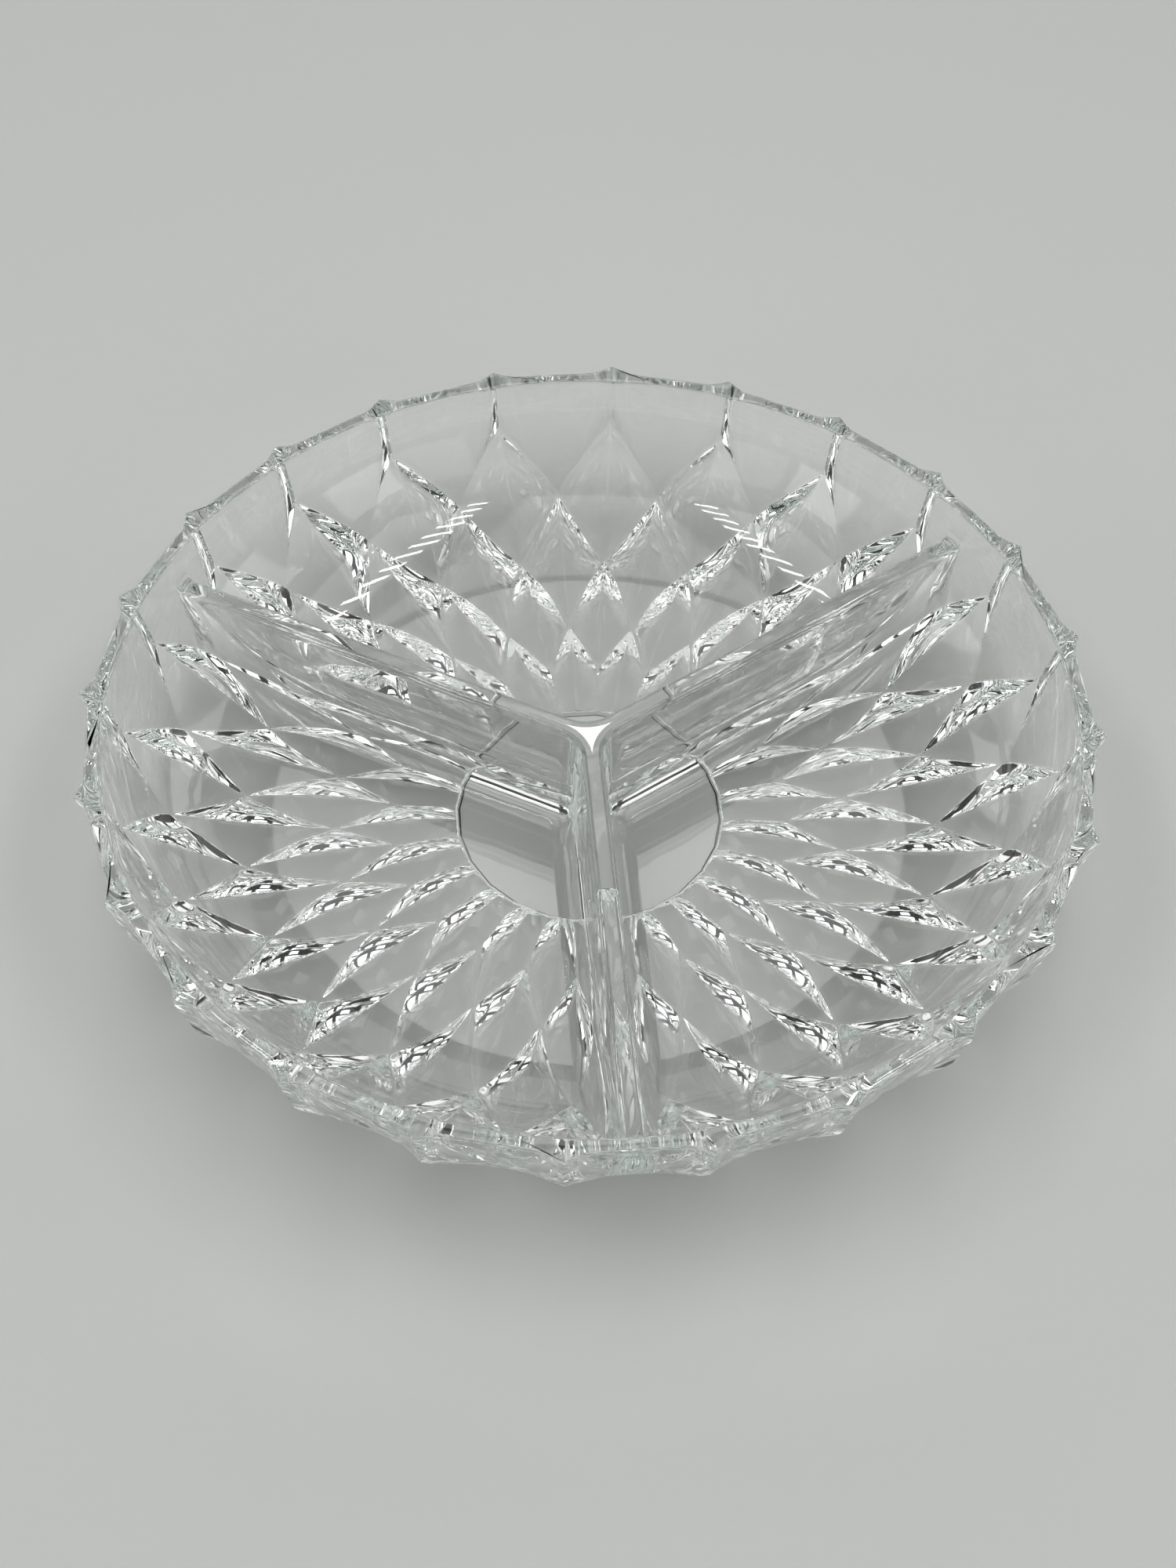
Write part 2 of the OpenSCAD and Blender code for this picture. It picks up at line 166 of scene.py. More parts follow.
def lattice():
    """The five rows of cuts: those in line with the rim's points, and those in line with the dividers."""
    start = math.asin((MIDDLE_R + LAND - UNDERSIDE_R) / OUTER_ARC)
    end = math.acos(1 - (OUTER_RISE - LONG_DROP) / OUTER_ARC)
    long_cut = round_valley(under_turn(start, 0), under_turn((start + end) / 2, WALL_CUT_D), under_turn(end, 0))
    long_cut = with_flanks(long_cut, beside(UPPER_R), half_column(UPPER_R) - LAND)
    floor_cut = with_flanks(
        round_valley(
            outside_point(INNER_R + LAND),
            np.array([LOWER_R, FOOT_STAND + FLOOR_CUT_D]),
            outside_point(MIDDLE_R - LAND),
        ),
        beside(LOWER_R),
        half_column(LOWER_R) - LAND,
    )
    low, high = outside_point(UPPER_R + LAND), np.array([TRAY_R - SCALLOP_D, TRAY_H])
    scallop = straight_valley(low, np.array([SCALLOP_VALLEY_R, TRAY_H]))
    bow = straight_valley(low, high)["out"] * SCALLOP_BOW
    scallop["pitch"], scallop["flat"] = SCALLOP_FLANK, round_valley(low, (low + high) / 2 + bow, high)
    turn_cut = with_flanks(
        round_valley(
            outside_point(LOWER_R + LAND),
            under_turn(math.asin((MIDDLE_R - UNDERSIDE_R) / OUTER_ARC), TURN_CUT_D),
            outside_point(UPPER_R - LAND),
        ),
        beside(MIDDLE_R),
        half_column(MIDDLE_R) - LAND,
    )
    petal = round_valley(
        np.array([FOOT_R, FOOT_STAND + PETAL_END_D]),
        np.array([INNER_R, FOOT_STAND + PETAL_CUT_D]),
        outside_point(LOWER_R - LAND),
    )
    petal = with_flanks(petal, beside(INNER_R), half_column(INNER_R) * PETAL_SPREAD)
    return [long_cut, floor_cut], [scallop, turn_cut, petal]


POINT_CUTS, DIVIDER_CUTS = lattice()


def soft_most(a, b, soft):
    """The larger of two fields, rounded where they cross: a quarter of the softness is added there, fading out."""
    return np.maximum(a, b) + np.maximum(soft - np.abs(a - b), 0.0) ** 2 / (4 * soft)


def cut_depth(r, z, way, turn, cuts_point, cuts_divider, soft):
    """Depth to go in from the uncut outside, along a given way, until no cut is left open.

    Across a cut the glass rises from its valley by the pitch times the distance, partly straight and partly hollow
    with the square of the distance. Across a scallop it rises from the edge of the bowed flat. The deepest of the cuts
    wins, and the depth is stepped in until it is met. Soft rounds the valleys and the crests.
    """
    depth = np.zeros(np.broadcast(r, z, turn).shape)
    both = cuts_point + cuts_divider
    flats = {id(cut): flat_half(cut, r, z) for cut in both}
    reach = {id(cut): np.maximum(open_depth(cut, r, z), LEAST_OPEN) / cut["pitch"] for cut in both}
    for _ in range(STEPS_IN):
        rad, high = r - depth * way[0], z - depth * way[1]
        left = -depth
        for cuts, angle in ((cuts_point, turn), (cuts_divider, HALF_STEP - turn)):
            x, y = rad * np.cos(angle), rad * np.sin(angle)
            for cut in cuts:
                past = np.abs(y) - flats[id(cut)]
                off = (past + np.sqrt(past ** 2 + VALLEY_SOFT ** 2)) / 2 if soft else np.maximum(past, 0.0)
                if "flat" in cut:
                    gap = open_depth(cut["flat"], x, high) - cut["pitch"] * off
                else:
                    rise = VALLEY_SHARE * off + (1 - VALLEY_SHARE) * y ** 2 / reach[id(cut)]
                    gap = open_depth(cut, x, high) - cut["pitch"] * rise
                left = soft_most(left, gap, CREST_SOFT) if soft else np.maximum(left, gap)
        depth = depth + left if soft else np.maximum(depth + left, 0.0)
    return depth


def outside_stations():
    """Stations up the uncut outside, as arrays of radius, height, lean and the way in, which turns level at the rim."""
    edge = RIM_OUT_EDGE
    flat = np.concatenate([
        FOOT_R + FOOT_STEPS[:-1],
        np.linspace(FOOT_R + FOOT_STEPS[-1], UNDERSIDE_R, FLAT_ROWS)[:-1],
    ])
    # the lean where the rim's round edge starts depends on itself, so it is found in a few rounds
    tilt = OUTER_SWEEP
    for _ in range(6):
        tilt = math.acos(1 - (OUTER_RISE - edge * (1 + math.cos(tilt))) / OUTER_ARC)
    arc = np.linspace(0.0, tilt, OUTER_ROWS)
    r = np.concatenate([flat, UNDERSIDE_R + OUTER_ARC * np.sin(arc)])
    z = np.concatenate([np.full(len(flat), FOOT_STAND), FOOT_STAND + OUTER_ARC * (1 - np.cos(arc))])
    lean = np.concatenate([np.zeros(len(flat)), arc])
    level = np.clip((z - (TRAY_H - LEVEL_DROP)) / (LEVEL_DROP - edge - 1), 0, 1)
    way = lean + (math.pi / 2 - lean) * level ** 2 * (3 - 2 * level)
    way[-1] = math.pi / 2
    return r, z, lean, np.sin(way), -np.cos(way)


def widest_flat(cuts, r, z):
    """Half width of the flat of the cut that is deepest at each station."""
    deep = np.stack([open_depth(cut, r, z) for cut in cuts])
    flat = np.stack([flat_half(cut, r, z) for cut in cuts])
    return np.take_along_axis(flat, deep.argmax(axis=0)[None, :], axis=0)[0]


def facet_turns(r, z, way):
    """Turns of the grid's columns across half a column of the lattice, so that its lines run along the facets.

    Between the plane of a rim point and the plane of a divider, the two sets of flanks meet at a crest or at uncut
    land. The columns crowd at the valleys and on both sides of the crest.
    """
    fine = np.linspace(0.0, HALF_STEP, CREST_TRIES)[None, :]
    last = CREST_TRIES - 1
    depth_a = cut_depth(r[:, None], z[:, None], way, fine, POINT_CUTS, [], False)
    depth_b = cut_depth(r[:, None], z[:, None], way, fine, [], DIVIDER_CUTS, False)
    done_a, done_b = depth_a <= np.maximum(depth_b, NO_DEPTH), depth_b <= np.maximum(depth_a, NO_DEPTH)
    past_a = np.where(done_a.any(axis=1), done_a.argmax(axis=1), last)
    before_b = last - np.where(done_b.any(axis=1), done_b[:, ::-1].argmax(axis=1), last)
    end_a, start_b = fine[0, past_a] * r, fine[0, before_b] * r
    mid = (end_a + start_b) / 2
    width = HALF_STEP * r
    half_a, half_b = np.minimum(end_a, mid), width - np.maximum(start_b, mid)
    flat_b = np.minimum(widest_flat(DIVIDER_CUTS, r, z), MOST_FLAT * half_b)
    a = CUT_SHARES * half_a[:, None]
    b = np.where(
        flat_b[:, None] > LEAST_FLAT * half_b[:, None],
        FLAT_SHARES * flat_b[:, None] + FLANK_SHARES * (half_b - flat_b)[:, None],
        CUT_SHARES * half_b[:, None],
    )
    columns = np.concatenate([a, mid[:, None], (width[:, None] - b)[:, ::-1]], axis=1)
    steps = np.maximum(np.diff(columns, axis=1), LEAST_COLUMN * width[:, None])
    turns = np.concatenate([np.zeros((len(r), 1)), np.cumsum(steps, axis=1)], axis=1)
    return turns / turns[:, -1:] * HALF_STEP


def outside_half_column():
    """Half a column of the outside as [rows, columns] of turn, radius and height, from the rim's edge down to the foot.

    Each row is a station of the uncut outside moved in by the depth of the cuts. Above them the rim's edge rounds over
    on a small circle, and below them the foot's wall drops and rounds over to a 24-sided disc.
    """
    r, z, lean, way_r, way_z = outside_stations()
    turns = facet_turns(r, z, (way_r[:, None], way_z[:, None]))
    side = FOOT_R * math.cos(HALF_STEP) / np.cos(HALF_STEP - turns)
    near = np.clip((FOOT_R + FOOT_FADE - r) / FOOT_FADE, 0, 1)[:, None]
    rad = r[:, None] + (side - FOOT_R) * near
    depth = cut_depth(rad, z[:, None], (way_r[:, None], way_z[:, None]), turns, POINT_CUTS, DIVIDER_CUTS, True)
    radius, height = rad - depth * way_r[:, None], z[:, None] - depth * way_z[:, None]
    # the rim's edge: a small circle from the wall's own slope over to the flat
    round_by = np.linspace(lean[-1] - math.pi / 2, math.pi / 2, 6)[1:, None]
    at_r = radius[-1:] - RIM_OUT_EDGE * math.sin(lean[-1])
    at_z = height[-1:] + RIM_OUT_EDGE * math.cos(lean[-1])
    edge_r, edge_z = at_r + RIM_OUT_EDGE * np.cos(round_by), at_z + RIM_OUT_EDGE * np.sin(round_by)
    # the foot's wall, its round edge and its flat
    drop = np.array([0.35, 0.7, 1.0])[:, None]
    wall_r, wall_z = radius[:1] + 0 * drop, height[:1] + (FOOT_EDGE - height[:1]) * drop
    over = np.radians([30.0, 60.0, 90.0])[:, None]
    under_r = radius[:1] - FOOT_EDGE * (1 - np.cos(over))
    under_z = FOOT_EDGE * (1 - np.sin(over)) + 0 * radius[:1]
    flat_r = radius[:1] * np.array([0.975, 0.9, 0.7, 0.4, 0.12])[:, None]
    below = len(wall_r) + len(under_r) + len(flat_r)
    return (
        np.concatenate([np.repeat(turns[-1:], len(edge_r), axis=0), turns[::-1], np.repeat(turns[:1], below, axis=0)]),
        np.concatenate([edge_r[::-1], radius[::-1], wall_r, under_r, flat_r]),
        np.concatenate([edge_z[::-1], height[::-1], wall_z, under_z, 0 * flat_r]),
    )


def grid_faces(rows, columns, first=0):
    """Quads of a grid of points that is stored row by row."""
    at = first + np.arange(rows * columns).reshape(rows, columns)
    return np.stack([at[:-1, :-1], at[:-1, 1:], at[1:, 1:], at[1:, :-1]], axis=-1).reshape(-1, 4)


def outside_skin():
    """The whole outside: half a column to both sides of each rim point, all round, with a pole under the foot."""
    turn, radius, height = outside_half_column()
    lines = np.concatenate([-turn[:, :0:-1], turn], axis=1)[:, :-1]
    radius = np.concatenate([radius[:, :0:-1], radius], axis=1)[:, :-1]
    height = np.concatenate([height[:, :0:-1], height], axis=1)[:, :-1]
    at = FIRST_POINT + 2 * HALF_STEP * np.arange(COLUMNS)
    angle = (at[None, :, None] + lines[:, None, :]).reshape(len(lines), -1)
    radius, height = np.tile(radius, (1, COLUMNS)), np.tile(height, (1, COLUMNS))
    points = np.stack([radius * np.cos(angle), radius * np.sin(angle), height], axis=-1)
    rows, columns = angle.shape
    closed = np.concatenate([points, points[:, :1]], axis=1).reshape(-1, 3)
    faces = grid_faces(rows, columns + 1)[:, ::-1]
    last = (rows - 1) * (columns + 1) + np.arange(columns)
    fan = np.stack([last + 1, last, np.full(columns, len(closed))], axis=1)
    return np.concatenate([closed, [[0.0, 0.0, 0.0]]]), faces, fan


def bowl_stations():
    """Stations out along the inside, as arrays of radius, height and slope.

    The floor is level, then slopes gently. One arc goes up the wall, and a small circle over the rim's inner edge.
    """
    first = (DIVIDER_HALF + CORNER_R) / math.sin(SIXTH)
    level = np.linspace(first, LEVEL_R, 7)
    gentle = np.linspace(LEVEL_R, FLOOR_TURN_R, 9)[1:]
    edge_at = math.sqrt((INNER_ARC + RIM_IN_EDGE) ** 2 - (INNER_AT[1] - TRAY_H + RIM_IN_EDGE) ** 2)
    last = math.asin(edge_at / (INNER_ARC + RIM_IN_EDGE))
    arc = np.linspace(FLOOR_SLOPE, last, INNER_ROWS)[1:]
    over = np.linspace(last, 0.0, 6)[1:]
    r = np.concatenate([
        level, gentle, INNER_AT[0] + INNER_ARC * np.sin(arc), INNER_AT[0] + edge_at - RIM_IN_EDGE * np.sin(over)
    ])
    z = np.concatenate([
        0 * level + FLOOR_T, FLOOR_T + (gentle - LEVEL_R) * math.tan(FLOOR_SLOPE),
        INNER_AT[1] - INNER_ARC * np.cos(arc), TRAY_H - RIM_IN_EDGE * (1 - np.cos(over)),
    ])
    slope = np.concatenate([0 * level, 0 * gentle + FLOOR_SLOPE, arc, 0 * over + last])
    return r, z, slope


def divider_profile(floor_z, slope):
    """Across a divider, as [rows, columns] of distance into the compartment from its top edge's line, and height.

    From the middle of the flat top: the top, a quarter circle over its edge, the drafted side, a fillet that is a
    quarter circle on the floor and a taller ellipse up the sloping wall, and the floor. Where the wall comes up to
    the top, the top sweeps up into it, and edge and fillet shrink with the height that is left.
    """
    floor_z, slope = floor_z[:, None], slope[:, None]
    top = soft_most(np.full_like(floor_z, DIVIDER_TOP), floor_z, END_SWEEP)
    high = np.maximum(top - floor_z, 0.0)
    edge = np.minimum(DIVIDER_EDGE, EDGE_SHARE * high)
    stretch = 1 / np.cos(slope)
    fillet = np.minimum(DIVIDER_FILLET * stretch, FILLET_SHARE * high)
    draft = (DIVIDER_HALF_FOOT - DIVIDER_HALF) / (DIVIDER_TOP - DIVIDER_EDGE - FLOOR_T)
    lean = math.atan(draft)
    flat = -DIVIDER_HALF + (DIVIDER_HALF - edge) * np.array([0.0, 0.5, 0.85, 0.96])
    bend = np.radians(90) + (lean - np.radians(90)) * np.linspace(0, 1, 5)[None, :]
    over, over_z = -edge + edge * np.cos(bend), top - edge + edge * np.sin(bend)
    side_end_z = floor_z + fillet * (1 - math.sin(lean))
    side_z = over_z[:, -1:] + (side_end_z - over_z[:, -1:]) * np.array([0.04, 0.35, 0.7, 0.96])
    side = over[:, -1:] + draft * (over_z[:, -1:] - side_z)
    foot = over[:, -1:] + draft * (over_z[:, -1:] - side_end_z) + fillet / stretch * math.cos(lean)
    sweep = lean + (math.radians(90) - lean) * np.linspace(0, 1, 9)[None, :]
    cove, cove_z = foot - fillet / stretch * np.cos(sweep), floor_z + fillet * (1 - np.sin(sweep))
    out = foot + (CORNER_R - foot) * np.array([0.06, 0.3, 0.65, 1.0])
    away = np.concatenate([flat, over, side, cove, out], axis=1)
    height = np.concatenate([0 * flat + top, over_z, side_z, cove_z, 0 * out + floor_z], axis=1)
    return away, height


def inside_sixth():
    """One sixth of the inside, from the middle plane of a divider along +X round to the middle of a compartment.

    Near the centre the rows stand square to a hollow corner, whose middle is the pole. Then they swing from square
    to the divider to rings about the tray's axis, and follow these out to the rim.
    """
    pole_y = DIVIDER_HALF + CORNER_R
    pole_x = pole_y / math.tan(SIXTH)
    ring_r, ring_z, ring_slope = bowl_stations()
    level, flat = np.full(1, FLOOR_T), np.zeros(1)
    away, height = divider_profile(level, flat)
    # rows round the hollow corner, from the middle of the compartment to the divider's own direction
    spin = np.radians(np.linspace(240.0, 270.0, CORNER_ROWS))[:, None]
    corner = np.stack([
        pole_x + (CORNER_R - away) * np.cos(spin), pole_y + (CORNER_R - away) * np.sin(spin), height + 0 * spin
    ], axis=-1)
    # rows that swing about the pole
    y = away + DIVIDER_HALF
    swing = np.linspace(0.0, 1.0, 8)[1:-1, None]
    ring_x = np.sqrt(np.maximum(ring_r[0] ** 2 - y ** 2, 0.0))
    turning = np.stack([pole_x + (ring_x - pole_x) * swing, y + 0 * swing, height + 0 * swing], axis=-1)
    # rows on rings
    away, height = divider_profile(ring_z, ring_slope)
    y = away + DIVIDER_HALF
    rings = np.stack([np.sqrt(np.maximum(ring_r[:, None] ** 2 - y ** 2, 0.0)), y, height], axis=-1)
    strip = np.concatenate([corner, turning, rings])
    # the open floor and wall beyond the strip along the divider
    begin = np.arcsin(np.minimum(pole_y / ring_r, 1.0))[:, None]
    phi = begin + (SIXTH - begin) * np.linspace(0, 1, 9)[None, :]
    field = np.stack([
        ring_r[:, None] * np.cos(phi), ring_r[:, None] * np.sin(phi), ring_z[:, None] + 0 * phi
    ], axis=-1)
    return strip, field


def inside_skin():
    """The whole inside: the sixth and its mirror image, three times round, closed at the middle of the hub's top."""
    strip, field = inside_sixth()
    points, quads, tris = [], [], []
    count = 0
    for turn in DIVIDER_TURNS:
        for side in (1.0, -1.0):
            for patch in (strip, field):
                rows, columns = patch.shape[:2]
                flat = patch.reshape(-1, 3) * np.array([1.0, side, 1.0])
                x, y = flat[:, 0], flat[:, 1]
                points.append(np.stack([
                    x * math.cos(turn) - y * math.sin(turn), x * math.sin(turn) + y * math.cos(turn), flat[:, 2]
                ], axis=1))
                faces = grid_faces(rows, columns, count)
                quads.append(faces[:, ::-1] if side > 0 else faces)
                if patch is strip:
                    # the centre's own number is only known when all patches are in
                    ends = count + np.arange(CORNER_ROWS) * columns
                    fan = np.stack([np.full(CORNER_ROWS - 1, -1), ends[1:], ends[:-1]], axis=1)
                    tris.append(fan if side < 0 else fan[:, ::-1])
                count += rows * columns
    points = np.concatenate(points + [np.array([[0.0, 0.0, DIVIDER_TOP]])])
    tris = np.concatenate(tris)
    tris[tris < 0] = count
    return points, np.concatenate(quads), tris


def welded(points, quads, tris):
    """Points that fall together become one, and faces that lose a side become triangles or go."""
    near = np.round(points * WELD_PARTS + WELD_SHIFT)
    _, keep, where = np.unique(near, axis=0, return_index=True, return_inverse=True)
    where = where.reshape(-1)
    quads, tris = where[quads], where[tris]
    same = quads == np.roll(quads, -1, axis=1)
    whole = quads[same.sum(axis=1) == 0]
    lost = same.sum(axis=1) == 1
    order = (same[lost].argmax(axis=1)[:, None] + np.arange(4)[None, :] + 1) % 4
    tris = np.concatenate([tris, np.take_along_axis(quads[lost], order, axis=1)[:, :3]])
    tris = tris[(tris[:, 0] != tris[:, 1]) & (tris[:, 1] != tris[:, 2]) & (tris[:, 2] != tris[:, 0])]
    return points[keep], whole, tris


def loose_points(quads, tris):
    """Points on edges that only one face has, which here are the two edges of the open rim."""
    edges = np.concatenate([
        np.stack([faces, np.roll(faces, -1, axis=1)], axis=-1).reshape(-1, 2) for faces in (quads, tris)
    ])
    once, times = np.unique(np.sort(edges, axis=1), axis=0, return_counts=True)
    return np.unique(once[times == 1])


def rim_band(points, inner, outer):
    """The flat of the rim: a zip of triangles between two rings of points, each sorted round the axis."""
    turn = np.arctan2(points[:, 1], points[:, 0])
    inner, outer = inner[np.argsort(turn[inner])], outer[np.argsort(turn[outer])]
    turn_in, turn_out = turn[inner], turn[outer]
    next_in, next_out = np.roll(inner, -1), np.roll(outer, -1)
    over_in = np.append(turn_in[1:], turn_in[0] + 2 * math.pi)
    over_out = np.append(turn_out[1:], turn_out[0] + 2 * math.pi)
    # a step along one ring ends at the last point of the other ring that it has passed
    meet_out = np.searchsorted(turn_out, over_in, side="right") - 1
    meet_in = np.searchsorted(turn_in, over_out, side="left") - 1
    wrap_out = np.where(meet_out < 0, len(outer) - 1, meet_out)
    wrap_in = np.where(meet_in < 0, len(inner) - 1, meet_in)
    a = np.stack([inner, outer[wrap_out], next_in], axis=1)
    b = np.stack([outer, next_out, inner[wrap_in]], axis=1)
    return np.concatenate([a, b])


def tray_skin():
    """Points, quads and triangles of the whole tray: outside and inside welded, and the rim's flat between them."""
    out_points, out_quads, out_fan = outside_skin()
    in_points, in_quads, in_fan = inside_skin()
    points, quads, tris = welded(
        np.concatenate([out_points, in_points]),
        np.concatenate([out_quads, in_quads + len(out_points)]),
        np.concatenate([out_fan, in_fan + len(out_points)]),
    )
    loose = loose_points(quads, tris)
    inner = np.hypot(points[loose, 0], points[loose, 1]) < TRAY_R - RIM_W + RING_SPLIT
    return points, quads, np.concatenate([tris, rim_band(points, loose[inner], loose[~inner])])


def add_mesh(name, points, quads, tris):
    """A mesh object from arrays in millimetres, smooth but for its sharp corners."""
    mesh = bpy.data.meshes.new(name)
    loops = np.concatenate([quads.reshape(-1), tris.reshape(-1)]).astype(np.int32)
    sizes = np.concatenate([np.full(len(quads), 4), np.full(len(tris), 3)])
    starts = np.concatenate([[0], np.cumsum(sizes)[:-1]]).astype(np.int32)
    mesh.vertices.add(len(points))
    mesh.vertices.foreach_set("co", (points * MM).astype(np.float32).reshape(-1))
    mesh.loops.add(len(loops))
    mesh.loops.foreach_set("vertex_index", loops)
    mesh.polygons.add(len(sizes))
    mesh.polygons.foreach_set("loop_start", starts)
    mesh.update(calc_edges=True)
    mesh.validate()
    mesh.polygons.foreach_set("use_smooth", np.ones(len(sizes), dtype=bool))
    mesh.set_sharp_from_angle(angle=math.radians(40))
    obj = bpy.data.objects.new(name, mesh)
    bpy.context.scene.collection.objects.link(obj)
    return obj


def clear_glass():
    """Clear pressed glass: faint green in its depth, slow waves from the mould, and a few dull marks."""
    mat = bpy.data.materials.new("clear_pressed_glass")
    mat.use_nodes = True
    tree = mat.node_tree
    shader = tree.nodes["Principled BSDF"]
    shader.inputs["Base Color"].default_value = (1.0, 1.0, 1.0, 1.0)
    shader.inputs["Metallic"].default_value = 0.0
    shader.inputs["IOR"].default_value = 1.54
    shader.inputs["Transmission Weight"].default_value = 1.0
    depth = tree.nodes.new("ShaderNodeVolumeAbsorption")
    depth.inputs["Color"].default_value = (0.84, 0.93, 0.87, 1.0)
    depth.inputs["Density"].default_value = 7.0
    tree.links.new(depth.outputs["Volume"], tree.nodes["Material Output"].inputs["Volume"])
    place = tree.nodes.new("ShaderNodeTexCoord")
    waves = tree.nodes.new("ShaderNodeTexNoise")
    waves.inputs["Scale"].default_value = 55.0
    waves.inputs["Detail"].default_value = 2.0
    tree.links.new(place.outputs["Object"], waves.inputs["Vector"])
    bump = tree.nodes.new("ShaderNodeBump")
    bump.inputs["Strength"].default_value = 0.08
    bump.inputs["Distance"].default_value = 0.001
    tree.links.new(waves.outputs["Fac"], bump.inputs["Height"])
    tree.links.new(bump.outputs["Normal"], shader.inputs["Normal"])
    marks = tree.nodes.new("ShaderNodeTexNoise")
    marks.inputs["Scale"].default_value = 160.0
    marks.inputs["Detail"].default_value = 4.0
    tree.links.new(place.outputs["Object"], marks.inputs["Vector"])
    dull = tree.nodes.new("ShaderNodeMapRange")
    dull.inputs["From Min"].default_value = 0.55
    dull.inputs["From Max"].default_value = 0.8
    dull.inputs["To Min"].default_value = 0.0
    dull.inputs["To Max"].default_value = 0.05
    tree.links.new(marks.outputs["Fac"], dull.inputs["Value"])
    tree.links.new(dull.outputs["Result"], shader.inputs["Roughness"])
    return mat


# Half the sheet's width, and the thin gap between it and the tray's foot
SHEET_HALF, SHEET_DROP = 3000.0, 0.15


def table_sheet():
    """Pale matt sheet under the tray, with the faintest unevenness of tone."""
    mat = bpy.data.materials.new("pale_sheet")
    mat.use_nodes = True
    tree = mat.node_tree
    shader = tree.nodes["Principled BSDF"]
    shader.inputs["Roughness"].default_value = 0.75
    place = tree.nodes.new("ShaderNodeTexCoord")
    tone = tree.nodes.new("ShaderNodeTexNoise")
    tone.inputs["Scale"].default_value = 3.0
    tree.links.new(place.outputs["Object"], tone.inputs["Vector"])
    ramp = tree.nodes.new("ShaderNodeValToRGB")
    ramp.color_ramp.elements[0].color = (0.627, 0.645, 0.621, 1.0)
    ramp.color_ramp.elements[1].color = (0.653, 0.671, 0.647, 1.0)
    tree.links.new(tone.outputs["Fac"], ramp.inputs["Fac"])
    tree.links.new(ramp.outputs["Color"], shader.inputs["Base Color"])
    corners = np.array([[-1, -1, 0], [1, -1, 0], [1, 1, 0], [-1, 1, 0]]) * SHEET_HALF
    corners[:, 2] = -SHEET_DROP
    sheet = add_mesh("table_sheet", corners, np.array([[0, 1, 2, 3]]), np.zeros((0, 3), dtype=int))
    sheet.data.materials.append(mat)


# Turn of the photograph's own axes against the tray's, and the focal length and long side of the photograph in pixels
PHOTO_TURN = math.radians(-5.32)
PHOTO_FOCAL, PHOTO_LONG_SIDE, SENSOR = 3148.9, 2000, 36.0


def turned(v):
    """A vector of the photograph's axes in the tray's own: turned about the upright axis."""
    c, s = math.cos(PHOTO_TURN), math.sin(PHOTO_TURN)
    return np.array([v[0] * c - v[1] * s, v[0] * s + v[1] * c, v[2]])


def photo_camera():
    """Camera at the photograph's place: 51 degrees down, a little rolled, 54 cm from the rim's middle."""
    pitch, roll, reach = 0.897327, 0.012163, 4.676590 * TRAY_R
    ahead = np.array([0.0, math.cos(pitch), -math.sin(pitch)])
    up = np.array([0.0, math.sin(pitch), math.cos(pitch)])
    right = np.array([1.0, 0.0, 0.0])
    level, rise = math.cos(roll), math.sin(roll)
    right, up = level * right + rise * up, -rise * right + level * up
    aim = np.array([-0.003312 * TRAY_R, -0.175482 * TRAY_R, TRAY_H])
    place = turned(aim - reach * ahead) * MM
    cam = bpy.data.objects.new("photo_camera", bpy.data.cameras.new("photo_camera"))
    rows = np.eye(4)
    rows[:3, 0], rows[:3, 1], rows[:3, 2], rows[:3, 3] = turned(right), turned(up), -turned(ahead), place
    cam.matrix_world = Matrix(rows.tolist())
    cam.data.sensor_width = SENSOR
    cam.data.lens = PHOTO_FOCAL / PHOTO_LONG_SIDE * SENSOR
    cam.data.clip_start, cam.data.clip_end = 0.01, 20.0
    bpy.context.scene.collection.objects.link(cam)
    bpy.context.scene.camera = cam


# Two ladders of short lamps: distance from the middle, first place and step, height, size, power and number in each
LADDER_SIDE, LADDER_FROM, LADDER_STEP, LADDER_H = 150, -160, 32, 450
LAMP_SIZE, LAMP_POWER, LAMPS = (34, 9), 0.016, 11


def bar_lamp(x, y):
    """A short bar of light at a place in the photograph's axes, in millimetres, that faces down."""
    data = bpy.data.lights.new("lamp_bar", "AREA")
    data.shape, data.energy = "RECTANGLE", LAMP_POWER
    data.size, data.size_y = LAMP_SIZE[0] * MM, LAMP_SIZE[1] * MM
    lamp = bpy.data.objects.new("lamp_bar", data)
    lamp.location = turned(np.array([x, y, LADDER_H], dtype=float)) * MM
    lamp.rotation_euler = (0.0, 0.0, PHOTO_TURN)
    bpy.context.scene.collection.objects.link(lamp)


def math_node(tree, operation, *values):
    """Result of a math node on sockets or numbers."""
    node = tree.nodes.new("ShaderNodeMath")
    node.operation = operation
    for socket, value in zip(node.inputs, values):
        if isinstance(value, bpy.types.NodeSocket):
            tree.links.new(value, socket)
        else:
            socket.default_value = value
    return node.outputs[0]


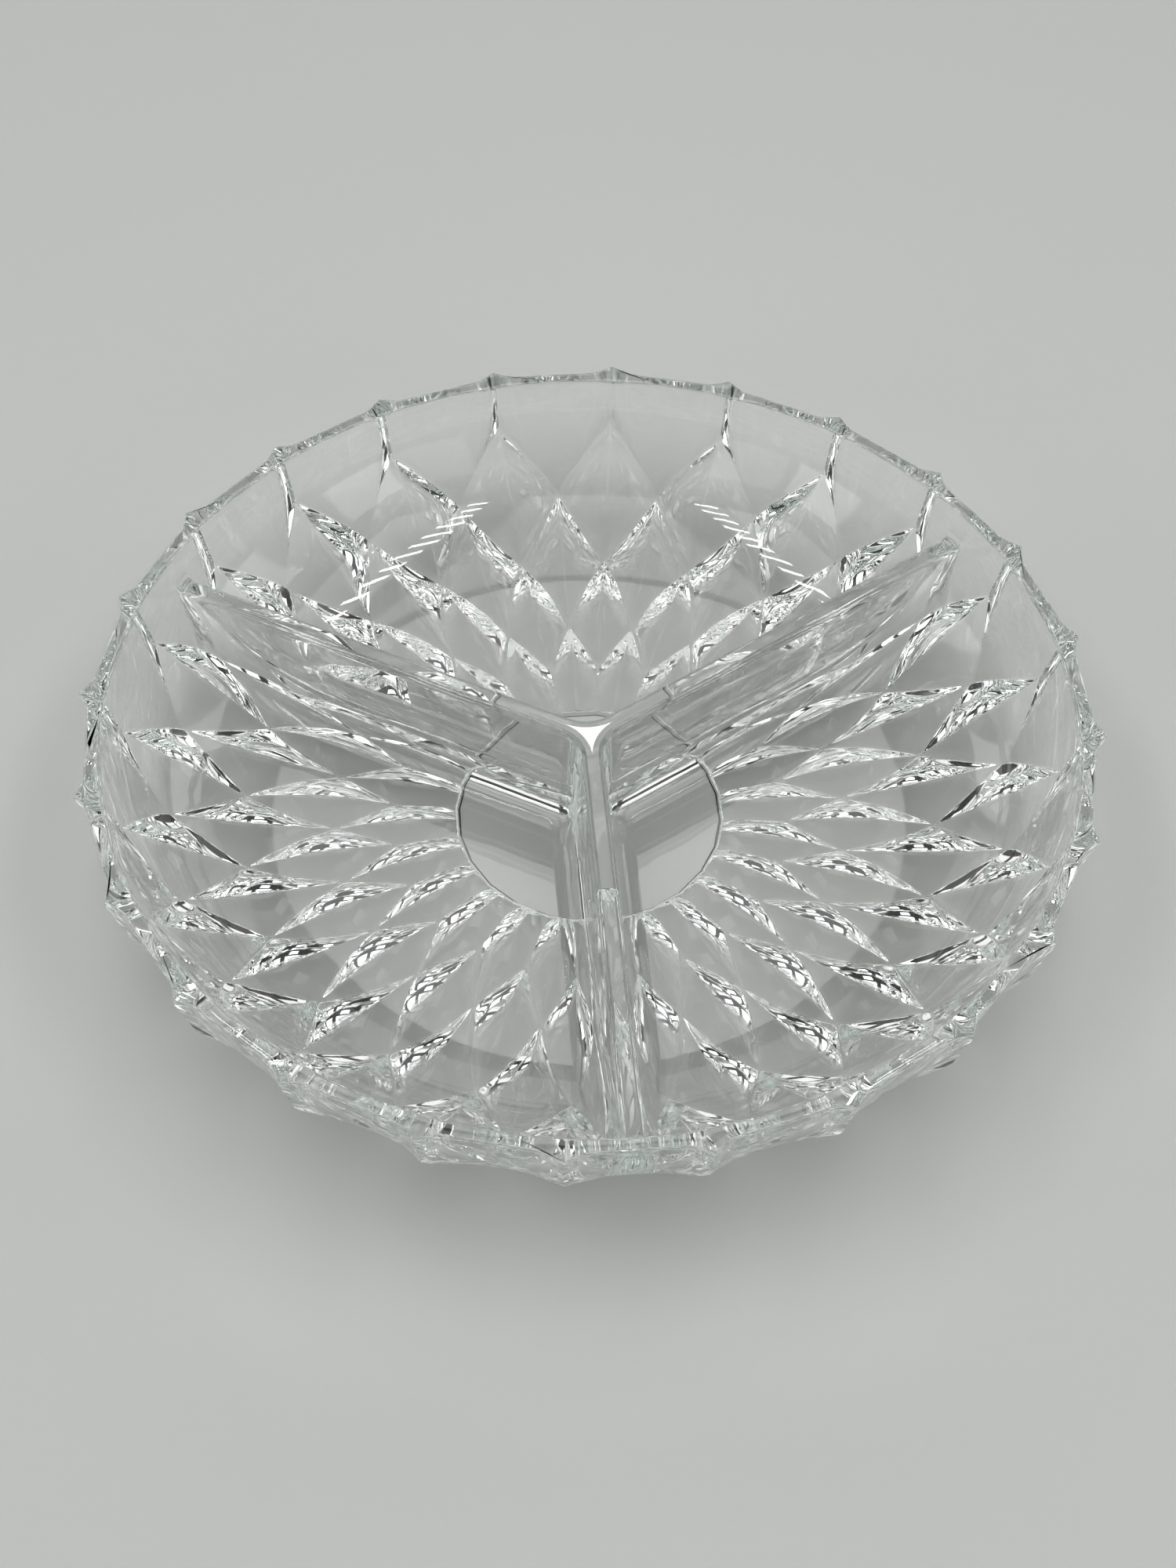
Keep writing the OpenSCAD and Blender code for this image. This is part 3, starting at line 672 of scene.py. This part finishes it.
def panel_group():
    """Node group for one soft-edged panel of light: 1 where two slopes lie inside a box, fading to 0 at its edges."""
    group = bpy.data.node_groups.new("light_panel", "ShaderNodeTree")
    for socket in ("Across", "Along", "Across middle", "Along middle", "Across half", "Along half", "Edge"):
        group.interface.new_socket(socket, in_out="INPUT", socket_type="NodeSocketFloat")
    group.interface.new_socket("Mask", in_out="OUTPUT", socket_type="NodeSocketFloat")
    start, end = group.nodes.new("NodeGroupInput"), group.nodes.new("NodeGroupOutput")
    sides = []
    for way in ("Across", "Along"):
        off = math_node(group, "SUBTRACT", start.outputs[way], start.outputs[way + " middle"])
        fade = group.nodes.new("ShaderNodeMapRange")
        fade.interpolation_type = "SMOOTHSTEP"
        group.links.new(math_node(group, "ABSOLUTE", off), fade.inputs["Value"])
        group.links.new(start.outputs[way + " half"], fade.inputs["From Max"])
        outer = math_node(group, "ADD", start.outputs[way + " half"], start.outputs["Edge"])
        group.links.new(outer, fade.inputs["From Min"])
        sides.append(fade.outputs["Result"])
    group.links.new(math_node(group, "MULTIPLY", *sides), end.inputs["Mask"])
    return group


# Panels of the studio: the axis and side that each faces, its middle and half size as slopes from that axis, the width
# of its soft edge, and its brightness. The last one is mirrored in the disc and the front of the floor.
PANELS = (
    [("Z", 1, (at, -0.05), (0.2, 0.52), 0.05, 1.5) for at in (-0.62, 0.0, 0.62)]
    + [("X", side, (at, 0.46), (0.19, 0.27), 0.04, 1.9) for side in (-1, 1) for at in (-0.75, 0.05, 0.85)]
    + [("Y", 1, (at, 0.42), (0.2, 0.28), 0.05, 1.0) for at in (-0.64, 0.0, 0.64)]
    + [("Y", -1, (at, 0.5), (0.18, 0.3), 0.05, 0.8) for at in (-0.75, 0.75)]
    + [("Z", 1, (0.0, 0.76), (0.11, 0.13), 0.05, 2.3)]
)
# The two axes that each panel lies along, the brightness of the room between panels, and the least distance ahead
PANEL_AXES = {"X": ("Y", "Z"), "Y": ("X", "Z"), "Z": ("X", "Y")}
ROOM, LEAST_AHEAD = 0.04, 0.01


def studio():
    """A dim room with soft panels of light overhead and on all four sides, and two ladders of lamps above."""
    world = bpy.data.worlds.new("soft_panels")
    bpy.context.scene.world = world
    world.use_nodes = True
    tree = world.node_tree
    place = tree.nodes.new("ShaderNodeTexCoord")
    spin = tree.nodes.new("ShaderNodeVectorRotate")
    spin.rotation_type = "Z_AXIS"
    spin.inputs["Angle"].default_value = -PHOTO_TURN
    tree.links.new(place.outputs["Generated"], spin.inputs["Vector"])
    parts = tree.nodes.new("ShaderNodeSeparateXYZ")
    tree.links.new(spin.outputs["Vector"], parts.inputs["Vector"])
    group = panel_group()
    total = ROOM
    for ahead, sign, middle, half, edge, bright in PANELS:
        reach = math_node(tree, "MAXIMUM", math_node(tree, "MULTIPLY", parts.outputs[ahead], sign), LEAST_AHEAD)
        panel = tree.nodes.new("ShaderNodeGroup")
        panel.node_tree = group
        panel.inputs["Edge"].default_value = edge
        for way, axis, at, size in zip(("Across", "Along"), PANEL_AXES[ahead], middle, half):
            tree.links.new(math_node(tree, "DIVIDE", parts.outputs[axis], reach), panel.inputs[way])
            panel.inputs[way + " middle"].default_value = at
            panel.inputs[way + " half"].default_value = size
        total = math_node(tree, "MULTIPLY_ADD", panel.outputs["Mask"], bright, total)
    back = tree.nodes["Background"]
    tree.links.new(total, back.inputs["Color"])
    back.inputs["Strength"].default_value = 1.0
    for side in (-1, 1):
        for bar in range(LAMPS):
            bar_lamp(LADDER_SIDE * side, LADDER_FROM + LADDER_STEP * bar)


photo_camera()
studio()
table_sheet()

tray = add_mesh("tray_glass", *tray_skin())
tray.data.materials.append(clear_glass())
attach(tray, "root")
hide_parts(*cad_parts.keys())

scene = bpy.context.scene
scene.view_settings.view_transform = "Standard"
scene.cycles.max_bounces = 32
scene.cycles.transmission_bounces = 32
scene.cycles.glossy_bounces = 16
